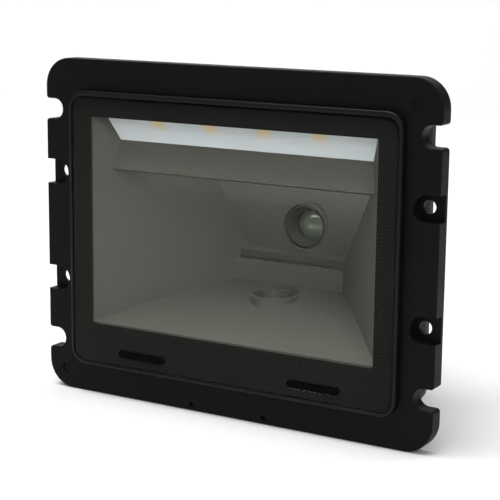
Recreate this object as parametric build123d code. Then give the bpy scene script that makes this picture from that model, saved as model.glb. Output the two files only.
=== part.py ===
from build123d import *
from math import atan2, cos, hypot, radians, sin
import os

# Panel-mount flatbed barcode scanner, millimetres.
# Origin: middle of the mounting flange on its back face, the plane that meets the panel.
# +X right and +Z up as seen by someone facing the window, +Y into the panel.

# ---- mounting flange and front housing ----
FLANGE_W = 120.0
FLANGE_H = 94.0
FLANGE_T = 4.6
FLANGE_R = 7.7
EDGE_R = 0.45
SLOT_W = 5.6          # open slots for M5 screws
SLOT_Z = 32.8
SLOT_END_X = 54.45    # innermost point of a slot
SLOT_MOUTH_R = 0.9
HOLE_D = 3.4          # clearance for M3
HOLE_X = 55.8
HOLE_Z = 15.2
POCKET_H = 6.9        # recess for an M3 screw head, open to the side
POCKET_END_X = 52.6
POCKET_DEPTH = 3.5
DIMPLE_R = 1.6        # ejector-pin marks
DIMPLE_DEPTH = 0.35
SKIRT_W = 100.0       # box wall behind the flange
SKIRT_H = 80.0
SKIRT_DEPTH = 12.2
SKIRT_R = 5.0
WALL = 2.0
OPENING_H = 74.0      # through opening, as wide as the inside of the skirt

# ---- window ----
BEZEL_W = 101.2
BEZEL_H = 77.1
BEZEL_R = 4.5
BEZEL_PROUD = 2.2     # how far the rim stands out of the flange
BEZEL_GROOVE = 0.15   # parting gap round the bezel
BEZEL_SEAT = 1.6      # depth of the rabbet that the bezel lies in
RIM_SIDE = 0.9
RIM_TOP = 1.45
RIM_BOTTOM = 0.8
LEDGE_W = 1.5         # glass seat inside the rim
GASKET_T = 0.2
GLASS_GAP = 0.15
GLASS_T = 1.1
GLASS_SUNK = 0.25
TAPE_T = 0.2
PRINT_T = 0.06
CLEAR_X = 43.7        # half width of the clear window
CLEAR_TOP = 31.5
CLEAR_BOTTOM = -26.5
SENSOR_X = 26.9       # middle of each sensor slot in the lower border
SENSOR_Z = -34.0
SENSOR_W = 15.8
SENSOR_H = 2.3
FOAM_T = 0.8

# ---- light box: side walls close in towards the mirror ----
SIDE_X0 = 40.55       # half width between the side walls at Y = 0
SIDE_SLOPE = 0.82     # how much each side closes in per millimetre of depth
SHELL = 1.2
MOUTH_Y = -4.3
BOX_RIM_T = 1.2
MIRROR_SUM = 19.85    # the mirror is the 45 degree plane Y + Z = MIRROR_SUM
MIRROR_T = 1.1
REAR_WALL_Y = 28.1
REAR_WALL_TOP = -10.5
REAR_FLOOR_Z = -16.6
REAR_SHELF_Y = 30.1   # a shelf on the rear wall closes the gap under the mirror
CREASE = (15.5, -19.7)
STRIP_BOTTOM = (1.9, 24.7)
STRIP_TOP = (-1.35, 31.8)
LIP = (0.1, 16.8)
LIP_END = (3.2, 15.9)
BOX_TOP_Z = 33.2
WALL_SEAM_Z = 18.4    # the side walls reach back to BOX_BACK_Y above this height
BOX_BACK_Y = 8.0      # back edge of the side walls above the mirror
ROOF_BACK_Y = 1.2

# ---- camera: looks up at the mirror through the floor ----
LENS_Y = 21.0
LENS_TOP = -17.9
HEAD_R = 6.3
HEAD_H = 5.6
THREAD_R = 6.0        # M12 lens thread
HOLDER_CLEARANCE = 0.05
LENS_BOTTOM = -29.5
HOOD_DEPTH = 3.2
HOOD_R = 5.7          # mouth of the hood
GLASS_R = 4.4
COLLAR_GAP = 0.25     # between the lens head and the light box's collar
CAMERA_BOARD_TOP = -32.6
CAMERA_BOARD_T = 1.2

# ---- boards and rear housing ----
MAIN_BOARD_Y = 33.0
MAIN_BOARD_T = 1.6
MAIN_BOARD_W = 68.0
MAIN_BOARD_H = 64.0
TUB_W = 76.0          # rear tub at its mouth
TUB_H = 80.0
TUB_TAPER = 2.5
TUB_END_Y = 45.0
MOUTH_T = 2.0
CORNER_X = 45.0       # screws that hold the two housings together
CORNER_Z = 34.5
BOARD_HOLE_X = 31.0
BOARD_HOLE_Z = 28.5
JACK_X = 0.0
JACK_Z = -14.0
JACK_W = 15.6
JACK_H = 13.2
BEEPER_X = 26.0
BEEPER_Z = -12.0
BEEPER_R = 5.5
SCREW_FIT = 0.05      # gap between a screw and its pilot hole
RIBBON_T = 0.3

FRONT_Y = -FLANGE_T
BEZEL_FRONT = FRONT_Y - BEZEL_PROUD
GLASS_FRONT = BEZEL_FRONT + GLASS_SUNK
GLASS_BACK = GLASS_FRONT + GLASS_T
PRINT_BACK = GLASS_BACK + PRINT_T
LEDGE_FRONT = GLASS_BACK + PRINT_T + TAPE_T
SEAT_Y = FRONT_Y + BEZEL_SEAT
BEZEL_BACK = SEAT_Y - GASKET_T
SKIRT_IN_W = SKIRT_W - 2 * WALL
SKIRT_IN_H = SKIRT_H - 2 * WALL
TUB_START = SKIRT_DEPTH + MOUTH_T
MAIN_BOARD_BACK = MAIN_BOARD_Y + MAIN_BOARD_T
CAMERA_BOARD_BOTTOM = CAMERA_BOARD_TOP - CAMERA_BOARD_T


# ---------------------------------------------------------------- helpers

def block(x, y, z):
    """Box between the two limits given for each axis."""
    size = Box(x[1] - x[0], y[1] - y[0], z[1] - z[0])
    return Pos((x[0] + x[1]) / 2, (y[0] + y[1]) / 2, (z[0] + z[1]) / 2) * size


def facing(y):
    """Drawing plane seen from the front: local axes are X and Z, the normal is -Y."""
    return Plane(origin=(0, y, 0), x_dir=(1, 0, 0), z_dir=(0, -1, 0))


def slab(sketch, y_front, y_back):
    """Plate with an outline drawn in X and Z."""
    return extrude(facing(y_back) * sketch, y_back - y_front)


def rounded(width, height, radius, x=0.0, z=0.0):
    return Pos(x, z) * RectangleRounded(width, height, radius)


def prism(points, half_width):
    """Solid with a Y-Z outline, as wide as twice half_width, centred on X = 0."""
    return extrude(Plane.YZ * Polygon(*points, align=None), half_width, both=True)


def both_sides(part):
    return part + mirror(part, about=Plane.YZ)


def rod(x, y, z, radius, length):
    """Cylinder along Y that starts at y."""
    return Pos(x, y + length / 2, z) * Rot(90, 0, 0) * Cylinder(radius, length)


def post(x, y, z, radius, length):
    """Cylinder along Z that starts at z."""
    return Pos(x, y, z + length / 2) * Cylinder(radius, length)


def ring(outer, inner, height):
    """Flat ring standing on the local XY plane."""
    return Pos(0, 0, height / 2) * (Cylinder(outer, height) - Cylinder(inner, height))


def pan_screw(radius, length, head_r, head_h):
    """Cross-recess screw: the shank runs down -Z from the underside of its head at Z = 0."""
    head = Pos(0, 0, head_h / 2) * Cylinder(head_r, head_h)
    head = fillet(head.edges().group_by(Axis.Z)[-1], head_h * 0.45)
    shank = Pos(0, 0, -length / 2) * Cylinder(radius, length)
    recess = Box(head_r * 1.1, head_r * 0.28, head_h) + Box(head_r * 0.28, head_r * 1.1, head_h)
    return head + shank - Pos(0, 0, head_h * 0.95) * recess


def at_back(x, y, z):
    """Placing for a screw driven towards the front: its head lies on the plane y."""
    return Location(Plane(origin=(x, y, z), x_dir=(1, 0, 0), z_dir=(0, 1, 0)))


def at_bottom(x, y, z):
    """Placing for a screw driven upwards: its head lies under the plane z."""
    return Location(Plane(origin=(x, y, z), x_dir=(1, 0, 0), z_dir=(0, 0, -1)))


def four(x, z):
    return [(sx * x, sz * z) for sx in (-1, 1) for sz in (-1, 1)]


def group(solids):
    return Compound(children=[Part(s.wrapped) if not isinstance(s, Part) else s for s in solids])


def mitred(points, distance):
    """The open line of points moved sideways, to the right of its direction, with mitred corners."""
    angles = [atan2(b[1] - a[1], b[0] - a[0]) for a, b in zip(points, points[1:])]
    moved = []
    for i, (y, z) in enumerate(points):
        before = angles[max(i - 1, 0)]
        after = angles[min(i, len(angles) - 1)]
        middle = (before + after) / 2
        reach = distance / cos((after - before) / 2)
        moved.append((y + reach * sin(middle), z - reach * cos(middle)))
    return moved


def side_x(y):
    """Half width between the light box's side walls at depth y."""
    return SIDE_X0 - SIDE_SLOPE * y


def side_wedge(extra, y_front, y_back, z_low=-60.0, z_high=60.0):
    """Space between the side walls, moved out by extra along X."""
    front = side_x(y_front) + extra
    back = side_x(y_back) + extra
    outline = Polygon((-front, y_front), (front, y_front), (back, y_back), (-back, y_back), align=None)
    return Pos(0, 0, z_low) * extrude(outline, z_high - z_low)


def mirror_y(z):
    return MIRROR_SUM - z


def mirror_plane(z):
    """Plane of the mirror's face with its origin at height z: local Y runs up the mirror."""
    return Plane(origin=(0, mirror_y(z), z), x_dir=(1, 0, 0), z_dir=(0, -1, -1))


# ---------------------------------------------------------------- front housing

def slot_cutter(z):
    """Open slot in the right edge of the flange, as a sketch."""
    centre = SLOT_END_X + SLOT_W / 2
    mouth = FLANGE_W / 2 + 1
    straight = Pos((centre + mouth) / 2, z) * Rectangle(mouth - centre, SLOT_W)
    return straight + Pos(centre, z) * Circle(SLOT_W / 2)


def screw_pocket(z):
    """Screw-head recess in the right edge of the flange, with its through hole."""
    radius = POCKET_H / 2
    centre = POCKET_END_X + radius
    mouth = FLANGE_W / 2 + 1
    outline = Pos((centre + mouth) / 2, z) * Rectangle(mouth - centre, POCKET_H)
    outline += Pos(centre, z) * Circle(radius)
    pocket = slab(outline, FRONT_Y - 1, FRONT_Y + POCKET_DEPTH)
    return pocket + rod(HOLE_X, FRONT_Y, z, HOLE_D / 2, FLANGE_T + 1)


def flange_plate():
    outline = RectangleRounded(FLANGE_W, FLANGE_H, FLANGE_R)
    for z in (-SLOT_Z, SLOT_Z):
        right = slot_cutter(z)
        outline -= right
        outline -= mirror(right, about=Plane.YZ)
    edge_x = FLANGE_W / 2 - 0.01
    mouths = [v for v in outline.vertices() if abs(v.X) > edge_x and abs(abs(v.Y) - SLOT_Z) < SLOT_W]
    outline = fillet(mouths, SLOT_MOUTH_R)
    plate = slab(outline, FRONT_Y, 0)
    front = plate.faces().sort_by(Axis.Y)[0]
    return fillet(front.edges(), EDGE_R)


def flange_marks():
    """Ejector-pin dimples in two corners and two locating notches low on the face."""
    marks = Part()
    for x, z in ((53.2, 40.0), (-53.8, -41.4)):
        marks += rod(x, FRONT_Y - 1, z, DIMPLE_R, 1 + DIMPLE_DEPTH)
    for x in (-11.4, 11.4):
        marks += block((x - 0.7, x + 0.7), (FRONT_Y - 1, FRONT_Y + 0.9), (-46.05, -44.75))
    return marks


def corner_boss(x, z):
    """Post in a corner of the skirt that takes a housing screw."""
    start = 2.0
    boss = rod(x, start, z, 2.9, SKIRT_DEPTH - start)
    side = 1 if x > 0 else -1
    level = 1 if z > 0 else -1
    wall_x = sorted((x, side * (SKIRT_IN_W / 2 + 0.5)))
    wall_z = sorted((z, level * (SKIRT_IN_H / 2 + 0.5)))
    boss += block(wall_x, (start, SKIRT_DEPTH), (z - 0.8, z + 0.8))
    boss += block((x - 0.8, x + 0.8), (start, SKIRT_DEPTH), wall_z)
    return boss - rod(x, start + 2, z, 1.05 + SCREW_FIT, SKIRT_DEPTH)


BOX_EAR_X = 44.6
BOX_EAR_Z = (-18.0, 24.0)
BOX_EAR_Y = 6.0
EAR_BOSS_START = 0.6


def ear_boss(z):
    """Post on the right wall that takes a light box ear."""
    boss = rod(BOX_EAR_X, EAR_BOSS_START, z, 2.4, BOX_EAR_Y - EAR_BOSS_START)
    boss += block((BOX_EAR_X, SKIRT_IN_W / 2 + 0.5), (EAR_BOSS_START, BOX_EAR_Y), (z - 1.0, z + 1.0))
    return boss - rod(BOX_EAR_X, EAR_BOSS_START + 0.8, z, 0.85 + SCREW_FIT, 10)


def front_housing():
    body = flange_plate()
    skirt = rounded(SKIRT_W, SKIRT_H, SKIRT_R) - rounded(SKIRT_IN_W, SKIRT_IN_H, SKIRT_R - WALL)
    body += slab(skirt, -0.5, SKIRT_DEPTH)
    groove = 2 * BEZEL_GROOVE
    rabbet = rounded(BEZEL_W + groove, BEZEL_H + groove, BEZEL_R + BEZEL_GROOVE)
    body -= slab(rabbet, FRONT_Y - 1, SEAT_Y)
    body -= slab(rounded(SKIRT_IN_W, OPENING_H, SKIRT_R - WALL), FRONT_Y - 1, 1.5)
    for z in (-HOLE_Z, HOLE_Z):
        body -= both_sides(screw_pocket(z))
    body -= flange_marks()
    for x, z in four(CORNER_X, CORNER_Z):
        body += corner_boss(x, z)
    for z in BOX_EAR_Z:
        body += both_sides(ear_boss(z))
    return body


# ---------------------------------------------------------------- window

PANE_W = BEZEL_W - 2 * RIM_SIDE               # opening inside the rim
PANE_H = BEZEL_H - RIM_TOP - RIM_BOTTOM
PANE_Z = (RIM_BOTTOM - RIM_TOP) / 2
PANE_R = BEZEL_R - RIM_SIDE


def pane_outline(inset):
    return rounded(PANE_W - 2 * inset, PANE_H - 2 * inset, max(PANE_R - inset, 2.0), z=PANE_Z)


def window_bezel():
    """Raised frame: a rounded rim with the glass seat inside it."""
    rim = slab(rounded(BEZEL_W, BEZEL_H, BEZEL_R) - pane_outline(0), BEZEL_FRONT, BEZEL_BACK)
    front = rim.faces().sort_by(Axis.Y)[0]
    rim = fillet(front.outer_wire().edges(), 0.45)
    front = rim.faces().filter_by(Axis.Y).sort_by(Axis.Y)[0]
    rim = fillet(front.inner_wires()[0].edges(), 0.2)
    seat = pane_outline(-0.3) - pane_outline(LEDGE_W)
    return rim + slab(seat, LEDGE_FRONT, BEZEL_BACK)


def bezel_gasket():
    seal = rounded(BEZEL_W - 0.6, BEZEL_H - 0.6, BEZEL_R - 0.3)
    seal -= rounded(SKIRT_IN_W + 0.4, OPENING_H + 0.4, SKIRT_R - WALL)
    return slab(seal, BEZEL_BACK, SEAT_Y)


def sensor_slot(extra, x):
    return Pos(x, SENSOR_Z) * SlotOverall(SENSOR_W + 2 * extra, SENSOR_H + 2 * extra)


def window_glass():
    pane = slab(pane_outline(GLASS_GAP), GLASS_FRONT, GLASS_BACK)
    pane = chamfer(pane.faces().sort_by(Axis.Y)[0].edges(), 0.28)
    for x in (-SENSOR_X, SENSOR_X):
        pane -= slab(sensor_slot(0, x), GLASS_FRONT - 1, GLASS_BACK + 1)
    front = pane.faces().sort_by(Axis.Y)[0]
    slot_edges = [edge for wire in front.inner_wires() for edge in wire.edges()]
    return chamfer(slot_edges, 0.12)


def clear_window(extra):
    height = CLEAR_TOP - CLEAR_BOTTOM
    middle = (CLEAR_TOP + CLEAR_BOTTOM) / 2
    return rounded(2 * (CLEAR_X + extra), height + 2 * extra, 0.6 + extra, z=middle)


def border_print():
    """Opaque ink on the back of the glass."""
    ink = pane_outline(GLASS_GAP + 0.15) - clear_window(0)
    for x in (-SENSOR_X, SENSOR_X):
        ink -= sensor_slot(0.02, x)
    return slab(ink, GLASS_BACK, PRINT_BACK)


def window_tape():
    band = pane_outline(GLASS_GAP + 0.3) - pane_outline(LEDGE_W - 0.2)
    return slab(band, PRINT_BACK, LEDGE_FRONT)


def sensor_window(x):
    """Infrared-pass plug that closes one slot of the glass."""
    return slab(sensor_slot(-0.1, x), GLASS_FRONT + 0.45, MOUTH_Y + 0.4)


def window_foam():
    """Light seal between the printed border and the light box."""
    top = BOX_TOP_Z + 1.9
    bottom = CLEAR_BOTTOM - 3.6
    outer = Pos(0, (top + bottom) / 2) * Rectangle(93.0, top - bottom)
    return slab(outer - clear_window(1.2), PRINT_BACK, MOUTH_Y)


# ---------------------------------------------------------------- light box

FLOOR_FRONT = (MOUTH_Y, CLEAR_BOTTOM + 0.25)
FLOOR_LINE = [FLOOR_FRONT, CREASE, (REAR_WALL_Y, REAR_FLOOR_Z), (REAR_WALL_Y, REAR_WALL_TOP),
              (REAR_SHELF_Y, REAR_WALL_TOP)]
LIP_LINE = [LIP_END, LIP, STRIP_BOTTOM]


def strip_plane():
    """Plane of the light strip's face, with its origin in the middle of the strip."""
    middle_y = (STRIP_BOTTOM[0] + STRIP_TOP[0]) / 2
    middle_z = (STRIP_BOTTOM[1] + STRIP_TOP[1]) / 2
    rise_y = STRIP_TOP[0] - STRIP_BOTTOM[0]
    rise_z = STRIP_TOP[1] - STRIP_BOTTOM[1]
    return Plane(origin=(0, middle_y, middle_z), x_dir=(1, 0, 0), z_dir=(0, -rise_z, rise_y))


STRIP_H = hypot(STRIP_TOP[0] - STRIP_BOTTOM[0], STRIP_TOP[1] - STRIP_BOTTOM[1])


def box_side_outline():
    """Side wall as seen along X: behind it lies the slanted mirror."""
    floor = mitred(FLOOR_LINE, SHELL)
    outline = floor[:3] + [(floor[2][0], mirror_y(floor[2][0]))]
    outline += [(mirror_y(WALL_SEAM_Z), WALL_SEAM_Z), (BOX_BACK_Y, WALL_SEAM_Z)]
    outline += [(BOX_BACK_Y, BOX_TOP_Z + SHELL)]
    return outline + [(MOUTH_Y, BOX_TOP_Z + SHELL)]


def floor_shell():
    return prism(FLOOR_LINE + mitred(FLOOR_LINE, SHELL)[::-1], 60)


def lip_shell():
    return prism(LIP_LINE + mitred(LIP_LINE, SHELL)[::-1], 60)


def box_rim():
    """Flat frame that lies on the foam behind the border print."""
    top = BOX_TOP_Z + 2.1
    bottom = -34.9
    outer = Pos(0, (top + bottom) / 2) * Rectangle(93.6, top - bottom)
    rim = slab(outer, MOUTH_Y, MOUTH_Y + BOX_RIM_T)
    for x in (-SENSOR_X, SENSOR_X):
        rim -= slab(sensor_slot(0.25, x), MOUTH_Y - 1, MOUTH_Y + 3)
    return rim


def box_ear(z):
    """Screw ear on the right side wall."""
    inner = side_x(BOX_EAR_Y) + 0.5
    ear = block((inner, BOX_EAR_X), (BOX_EAR_Y, BOX_EAR_Y + 1.6), (z - 2.6, z + 2.6))
    ear += rod(BOX_EAR_X, BOX_EAR_Y, z, 2.6, 1.6)
    ear += block((inner, inner + 2.5), (BOX_EAR_Y - 3, BOX_EAR_Y + 3), (z - 0.6, z + 0.6))
    return ear - rod(BOX_EAR_X, BOX_EAR_Y - 1, z, 1.05, 4)


MIRROR_BOSS_Z = (12.0, -5.0)
MIRROR_BOSS_GAP = 4.6   # from the mirror's edge line to the middle of a post
MIRROR_BOSS_H = 5.0


def mirror_boss_x(z):
    return side_x(mirror_y(z)) + MIRROR_BOSS_GAP


def mirror_boss(z):
    """Post beside the mirror, square to it, on the right side wall."""
    x = mirror_boss_x(z)
    local = Pos(x, 0, MIRROR_BOSS_H / 2) * Cylinder(2.1, MIRROR_BOSS_H)
    local += Pos(x - 1.9, 0, MIRROR_BOSS_H / 2) * Box(3.8, 1.6, MIRROR_BOSS_H)
    hole = Pos(x, 0, 0) * Cylinder(0.85 + SCREW_FIT, 8)
    return Location(mirror_plane(z)) * (local - hole)


CAMERA_POSTS = [(sx * 11.5, y) for sx in (-1, 1) for y in (10.7, 26.6)]


def camera_post(x, y):
    """Post under the floor that carries the camera board."""
    length = REAR_FLOOR_Z - 1.5 - CAMERA_BOARD_TOP
    body = post(x, y, CAMERA_BOARD_TOP, 2.1, length)
    return body - post(x, y, CAMERA_BOARD_TOP - 1, 0.85 + SCREW_FIT, 6)


def lens_collar():
    """Raised ring on the floor, round the hole that the lens looks through."""
    base = -22.0
    tube = post(0, LENS_Y, base, HEAD_R + COLLAR_GAP + 0.7, LENS_TOP + 0.3 - base)
    tube = fillet(tube.edges().group_by(Axis.Z)[-1], 0.3)
    rear = REAR_WALL_Y + SHELL / 2
    return tube & prism(mitred(FLOOR_LINE, SHELL / 2)[:3] + [(rear, 0), (MOUTH_Y, 0)], 20)


def light_box():
    mouth = side_wedge(0, MOUTH_Y - 1, MOUTH_Y + 3, FLOOR_LINE[0][1], BOX_TOP_Z)
    outside = side_wedge(SHELL / cos(atan2(SIDE_SLOPE, 1)), MOUTH_Y, 40)
    hollow = side_wedge(0, MOUTH_Y - 1, 40)
    roof = block((-60, 60), (MOUTH_Y, ROOF_BACK_Y), (BOX_TOP_Z, BOX_TOP_Z + SHELL))
    shell = prism(box_side_outline(), 60) & (outside - hollow)
    shell += (floor_shell() + lip_shell() + roof) & outside
    box = shell + (box_rim() - mouth)
    for z in BOX_EAR_Z:
        box += both_sides(box_ear(z) - hollow)
    for z in MIRROR_BOSS_Z:
        box += both_sides(mirror_boss(z) - hollow)
    below_floor = prism(mitred(FLOOR_LINE, 0.3) + [(REAR_WALL_Y + 0.6, -60), (MOUTH_Y, -60)], 60)
    for x, y in CAMERA_POSTS:
        box += camera_post(x, y) & below_floor
    box += lens_collar()
    return box - post(0, LENS_Y, -30, HEAD_R + COLLAR_GAP, 20)


def light_diffuser():
    """Opal strip between the side walls, above the lip."""
    bar = Pos(0, -0.1, -0.7) * Box(100, STRIP_H - 0.4, 1.4)
    return (Location(strip_plane()) * bar) & side_wedge(-0.12, -10, 20)


ILLUMINATION_LED_X = (-24.6, -8.2, 8.2, 24.6)
LED_LIFT = 1.9        # where the lamps sit above the middle of the strip


def illumination_leds():
    place = Location(strip_plane())
    package = Box(3.2, 2.2, 0.8) - Pos(0, 0, 0.4) * Cylinder(0.9, 0.3)
    return group([place * Pos(x, LED_LIFT, -2.2) * package for x in ILLUMINATION_LED_X])


def illumination_board():
    place = Location(strip_plane())
    return place * Pos(0, -0.2, -3.0) * Box(70, STRIP_H - 1.4, 0.8)


MIRROR_TOP_Z = 16.0
CARRIER_T = 1.6
CARRIER_BACK = -MIRROR_T - CARRIER_T


def behind_mirror(bottom_z, overlap, front, thickness):
    """Trapezoid plate along the mirror, from the local height front backwards."""
    run = (MIRROR_TOP_Z - bottom_z) / cos(radians(45))
    top_x = side_x(mirror_y(MIRROR_TOP_Z)) + overlap
    bottom_x = side_x(mirror_y(bottom_z)) + overlap
    outline = Polygon((-bottom_x, -run), (bottom_x, -run), (top_x, 0), (-top_x, 0), align=None)
    plate = Pos(0, 0, front - thickness) * extrude(outline, thickness)
    return Location(mirror_plane(MIRROR_TOP_Z)) * plate


def fold_mirror():
    """Front-surface mirror plate, a trapezoid at 45 degrees."""
    return behind_mirror(-11.0, 1.1, 0, MIRROR_T)


def mirror_carrier():
    """Moulded plate behind the mirror, with four ears on the light box posts."""
    backing = behind_mirror(-10.0, 1.9, -MIRROR_T, CARRIER_T)
    for x in (-20, 0, 20):
        rib = Pos(x, -14, CARRIER_BACK - 0.5) * Box(1.2, 22, 1.4)
        backing += Location(mirror_plane(MIRROR_TOP_Z)) * rib
    for z in MIRROR_BOSS_Z:
        backing += both_sides(carrier_ear(z))
    return backing


def carrier_ear(z):
    """Ear of the mirror carrier, seated on one post of the light box."""
    x = mirror_boss_x(z)
    inner = side_x(mirror_y(z)) + 1.0
    depth = -CARRIER_BACK
    ear = Pos((inner + x) / 2, 0, CARRIER_BACK + CARRIER_T / 2) * Box(x - inner, 4.2, CARRIER_T)
    ear += Pos(x, 0, -depth / 2) * Cylinder(2.1, depth)
    return Location(mirror_plane(z)) * (ear - Pos(x, 0, 0) * Cylinder(1.05, 8))


def mirror_screws():
    screws = []
    for z in MIRROR_BOSS_Z:
        for side in (-1, 1):
            back = Pos(side * mirror_boss_x(z), 0, CARRIER_BACK) * Rot(180, 0, 0)
            screws.append(Location(mirror_plane(z)) * back * pan_screw(0.85, 6, 1.7, 1.2))
    return group(screws)


# ---------------------------------------------------------------- camera

def lens_barrel():
    """Threaded lens body with a conical hood above the front element."""
    head = Pos(0, 0, -HEAD_H / 2) * Cylinder(HEAD_R, HEAD_H)
    head = chamfer(head.edges().group_by(Axis.Z)[-1], 0.4)
    length = LENS_TOP - LENS_BOTTOM
    thread = Pos(0, 0, -(HEAD_H + length) / 2) * Cylinder(THREAD_R, length - HEAD_H)
    hood = Pos(0, 0, -HOOD_DEPTH / 2) * Cone(GLASS_R + 0.1, HOOD_R, HOOD_DEPTH)
    seat = Pos(0, 0, -HOOD_DEPTH - 1.2) * Cylinder(GLASS_R + 0.3, 2.4)
    tunnel = Pos(0, 0, -length / 2 - 2) * Cylinder(2.6, length - 3.9)
    rear_seat = Pos(0, 0, -length + 1.0) * Cylinder(3.4, 2.1)
    body = head + thread - hood - seat - tunnel - rear_seat
    for angle in (0, 90, 180, 270):
        body -= Rot(0, 0, angle + 45) * Pos(HEAD_R, 0, 0) * Box(1.2, 1.4, 1.2)
    return Pos(0, LENS_Y, LENS_TOP) * body


def front_element():
    """Plano-convex lens, its curved face towards the mirror."""
    bulge = 7.5
    disc = Cylinder(GLASS_R + 0.25, 2.2) & (Pos(0, 0, 1.1 - bulge) * Sphere(bulge))
    return Pos(0, LENS_Y, LENS_TOP - HOOD_DEPTH - 1.2) * disc


def rear_element():
    disc = Pos(0, 0, 0.9) * Cylinder(3.3, 1.8)
    return Pos(0, LENS_Y, LENS_BOTTOM + 0.1) * disc


def lens_lock_ring():
    """Knurled jam nut that holds the focus setting."""
    body = ring(7.4, THREAD_R + HOLDER_CLEARANCE, 0.9)
    for step in range(24):
        body -= Rot(0, 0, step * 15) * Pos(7.45, 0, 0.45) * Cylinder(0.25, 1.2)
    return Pos(0, LENS_Y, LENS_TOP - HEAD_H - 1.1) * body


HOLDER_EAR = 8.8


def lens_holder():
    """Threaded collar on a square hood over the image sensor."""
    top = LENS_TOP - HEAD_H - 1.2
    height = top - CAMERA_BOARD_TOP
    hood_h = 4.6
    collar = Pos(0, 0, height / 2) * Cylinder(7.4, height)
    base = Pos(0, 0, hood_h / 2) * Box(14.6, 16, hood_h)
    base = fillet(base.edges().filter_by(Axis.Z), 1.2)
    body = collar + base
    for side in (-1, 1):
        ear = Pos(side * HOLDER_EAR, 0, 1.0) * Cylinder(1.9, 2.0)
        ear += Pos(side * (HOLDER_EAR - 1.5), 0, 1.0) * Box(3.0, 3.8, 2.0)
        body += ear
    bore_bottom = 2.6
    body -= Pos(0, 0, bore_bottom + 10) * Cylinder(THREAD_R + HOLDER_CLEARANCE, 20)
    body -= Pos(0, 0, 0) * Box(10.4, 10.4, 4.0)
    body -= Pos(0, 0, 2.3) * Box(7.0, 7.0, 2.0)
    for side in (-1, 1):
        body -= Pos(side * HOLDER_EAR, 0, 1.0) * Cylinder(0.7 + SCREW_FIT, 3)
    return Pos(0, LENS_Y, CAMERA_BOARD_TOP) * body


def cut_filter():
    """Infrared cut filter on the step above the sensor."""
    return Pos(0, LENS_Y, CAMERA_BOARD_TOP + 2.6 + 0.15) * Box(7.8, 7.8, 0.3)


def image_sensor():
    base = Pos(0, 0, 0.45) * Box(9.0, 9.0, 0.9)
    cover = Pos(0, 0, 1.1) * Box(7.6, 7.6, 0.4)
    return Pos(0, LENS_Y, CAMERA_BOARD_TOP) * (base + cover)


def camera_board():
    top = CAMERA_BOARD_TOP
    plate = block((-14.4, 14.4), (8.0, 31.0), (top - CAMERA_BOARD_T, top))
    plate = fillet(plate.edges().filter_by(Axis.Z), 1.0)
    for x, y in CAMERA_POSTS:
        plate -= post(x, y, top - 5, 1.05, 10)
    for side in (-1, 1):
        plate -= post(side * HOLDER_EAR, LENS_Y, top - 5, 0.85, 10)
    return plate


def camera_screws():
    screws = []
    for x, y in CAMERA_POSTS:
        screws.append(at_bottom(x, y, CAMERA_BOARD_BOTTOM) * pan_screw(0.85, 4.8, 1.7, 1.2))
    return group(screws)


def holder_screws():
    screws = []
    for side in (-1, 1):
        place = at_bottom(side * HOLDER_EAR, LENS_Y, CAMERA_BOARD_BOTTOM)
        screws.append(place * pan_screw(0.7, 3.0, 1.3, 0.9))
    return group(screws)


def light_box_screws():
    screws = []
    for side in (-1, 1):
        for z in BOX_EAR_Z:
            place = at_back(side * BOX_EAR_X, BOX_EAR_Y + 1.6, z)
            screws.append(place * pan_screw(0.85, 5.6, 1.7, 1.2))
    return group(screws)


# ---------------------------------------------------------------- ribbon cables and connectors

CONNECTOR_DEPTH = 4.5
CONNECTOR_H = 1.7
CABLE_HEIGHT = 0.8    # middle of the cable above the board
LATCH_R = 0.36
LATCH_REACH = 1.5
LATCH_PIN_R = 0.25
PIN_CLEARANCE = 0.05
LATCH_PIVOT = (-LATCH_REACH, CABLE_HEIGHT + RIBBON_T / 2 + 0.06 + LATCH_R)


def connector_body(width, with_latch):
    """Ribbon connector in its own frame: cable leaves along +Y, the board is under Z = 0."""
    body = Pos(0, -CONNECTOR_DEPTH / 2, CONNECTOR_H / 2) * Box(width + 4.4, CONNECTOR_DEPTH, CONNECTOR_H)
    gap = RIBBON_T / 2 + 0.06
    body -= Pos(0, -1.5, CABLE_HEIGHT) * Box(width + 0.4, 3.0 + 0.002, 2 * gap)
    if with_latch:
        pivot_y, pivot_z = LATCH_PIVOT
        low = CABLE_HEIGHT - gap
        back = pivot_y - LATCH_R - 0.08
        body -= Pos(0, back / 2, low + 2) * Box(width + 2.2, -back + 0.002, 4)
        body -= Pos(0, pivot_y, pivot_z) * Rot(0, 90, 0) * Cylinder(LATCH_PIN_R + PIN_CLEARANCE, width + 3.6)
    return body


def connector_latch(width):
    """Flip bar, closed over the cable, with a stub pin at each end."""
    pivot_y, pivot_z = LATCH_PIVOT
    half = (width + 1.9) / 2
    bar = Pos(0, LATCH_REACH / 2, 0) * Box(2 * half, LATCH_REACH, 2 * LATCH_R)
    bar += Rot(0, 90, 0) * Cylinder(LATCH_R, 2 * half)
    bar += Rot(0, 90, 0) * Cylinder(LATCH_PIN_R, width + 3.4)
    return Pos(0, pivot_y, pivot_z) * bar


CABLE_W = 12.0
CAMERA_MOUTH_Y = 28.2
MAIN_MOUTH_Z = -27.6


def camera_connector_place():
    """Under the camera board, its mouth to the rear."""
    origin = (0, CAMERA_MOUTH_Y, CAMERA_BOARD_BOTTOM)
    return Location(Plane(origin=origin, x_dir=(-1, 0, 0), z_dir=(0, 0, -1)))


def main_connector_place():
    """On the back of the main board, its mouth down."""
    return Location(Plane(origin=(0, MAIN_BOARD_BACK, MAIN_MOUTH_Z), x_dir=(1, 0, 0), z_dir=(0, 1, 0)))


def front_connector_place(x, z, up):
    """On the front of the main board, its mouth up or down."""
    across = 1 if up else -1
    return Location(Plane(origin=(x, MAIN_BOARD_Y, z), x_dir=(across, 0, 0), z_dir=(0, -1, 0)))


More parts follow.
